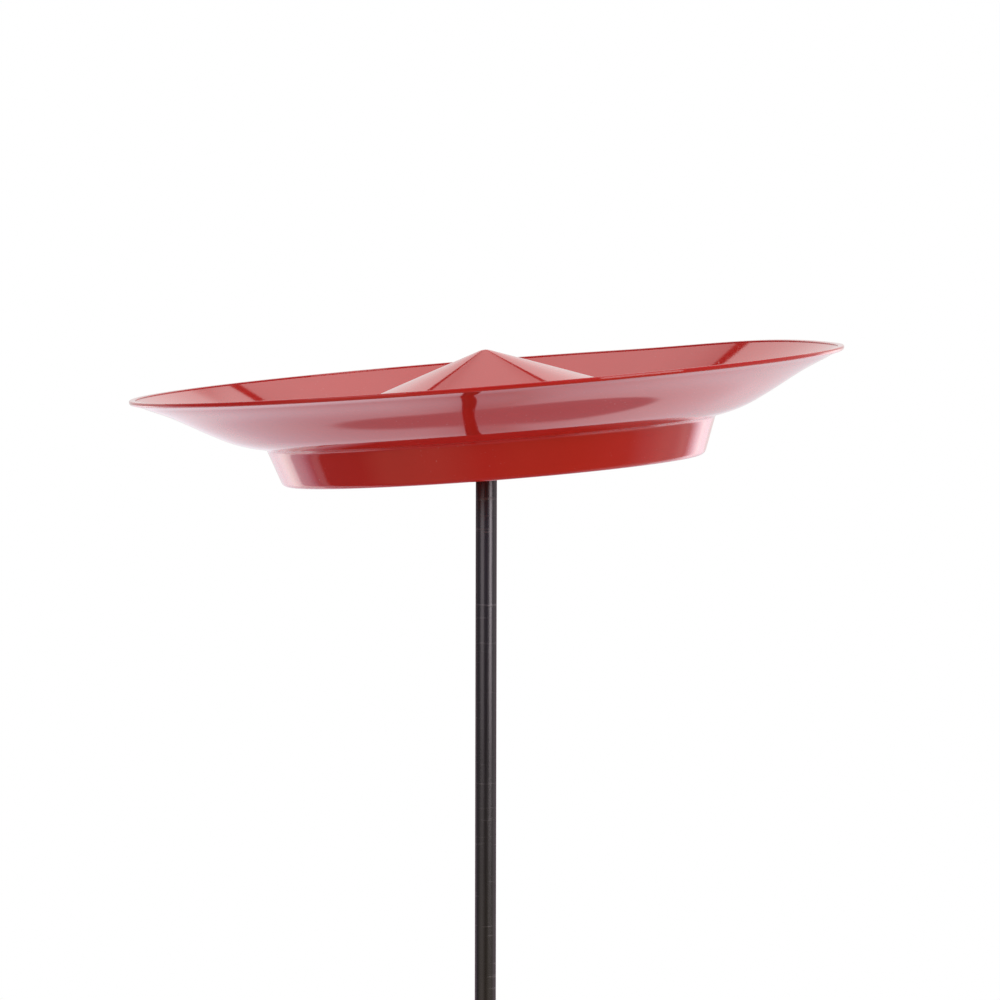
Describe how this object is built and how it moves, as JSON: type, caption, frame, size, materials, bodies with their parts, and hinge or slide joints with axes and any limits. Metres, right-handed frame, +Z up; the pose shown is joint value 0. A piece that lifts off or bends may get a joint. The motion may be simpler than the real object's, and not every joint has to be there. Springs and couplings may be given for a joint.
{
  "type": "bird feeder on pole",
  "caption": "Shallow round seed dish with a raised centre cone and a foot ring, rocking on a ball at the top of a thin sectional steel rod with a ground point.",
  "frame": {"origin": "on the pole's axis at ground level, where the buried length of the ground stake begins", "axes": "+Z up along the pole; the dish leans towards -X at rest; +Y is away from the viewer"},
  "size_m": [0.2692, 0.27, 1.2118],
  "materials": {
    "pole": "semi-gloss dark grey-brown paint on drawn steel rod",
    "zinc": "zinc plated",
    "nylon": "natural nylon, moulded",
    "acetal": "black acetal, moulded",
    "dish": "high gloss moulded red plastic"
  },
  "bodies": {
    "pole": {"pole_lower": "pole", "pole_middle": "pole", "pole_upper": "pole", "joint_stud_lower": "zinc", "joint_stud_upper": "zinc"},
    "washer": {"thrust_washer": "zinc"},
    "tip": {"ball_tip": "nylon"},
    "dish": {"dish": "dish", "hub_socket": "acetal"}
  },
  "joints": [
    {"name": "spin", "type": "hinge", "parent": "pole", "child": "washer", "pos_m": [0, 0, 0.971], "axis": [0, 0, 1], "continuous": true},
    {"name": "lift", "type": "slide", "parent": "washer", "child": "tip", "axis": [0, 0, 1], "range_m": [0, 0.06]},
    {"name": "rock", "type": "hinge", "parent": "tip", "child": "dish", "pos_m": [0, 0, 1], "axis": [0, 1, 0], "range_deg": [0, 9.2]}
  ]
}
